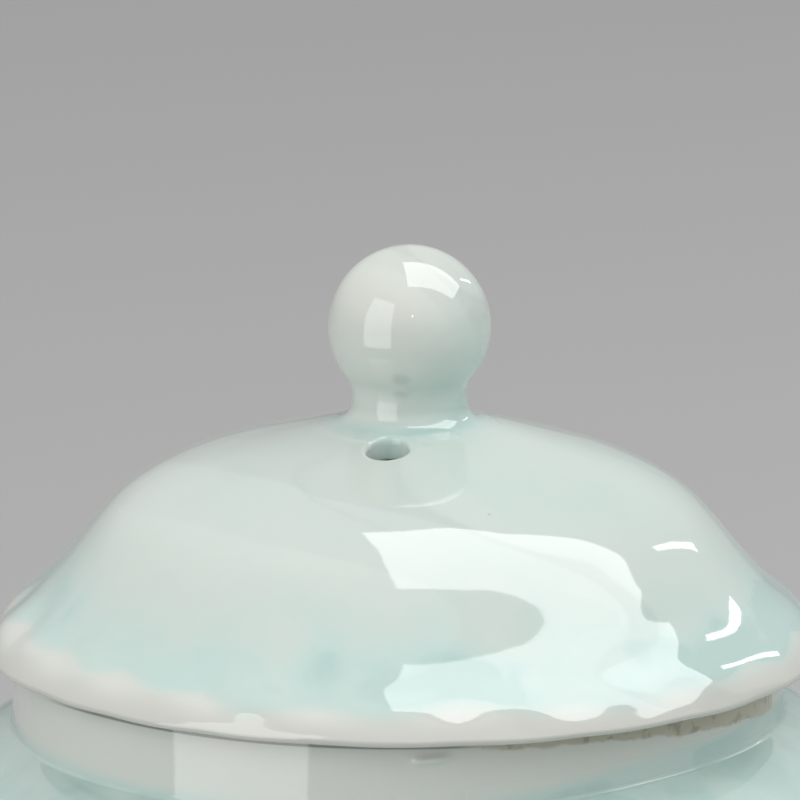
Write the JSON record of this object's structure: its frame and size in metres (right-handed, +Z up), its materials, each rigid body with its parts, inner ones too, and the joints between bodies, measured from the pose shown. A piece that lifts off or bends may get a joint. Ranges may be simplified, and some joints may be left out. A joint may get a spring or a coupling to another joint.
{
  "type": "covered jar",
  "caption": "Round-shouldered porcelain jar with a plain neck and a lift-off domed cover: ball knob, vent hole beside it and a flared rim of soft petal lobes.",
  "frame": {"origin": "centre of the foot, on the plane that the jar stands on", "axes": "+Z up along the jar's axis; the vent hole faces -Y, the front"},
  "size_m": [0.162, 0.162, 0.2123],
  "materials": {
    "glazed_porcelain": "glossy pale blue-green glaze, pooling in the hollows and thin on edges",
    "bare_porcelain": "unglazed, fine matt bisque"
  },
  "bodies": {
    "jar": {"jar_body": "glazed_porcelain"},
    "lid": {"lid_dome": "glazed_porcelain", "lid_flange": "bare_porcelain", "lid_knob": "glazed_porcelain"}
  },
  "joints": [
    {"name": "lid_lift", "type": "slide", "parent": "jar", "child": "lid", "axis": [0, 0, 1], "range_m": [0, 0.11]}
  ]
}
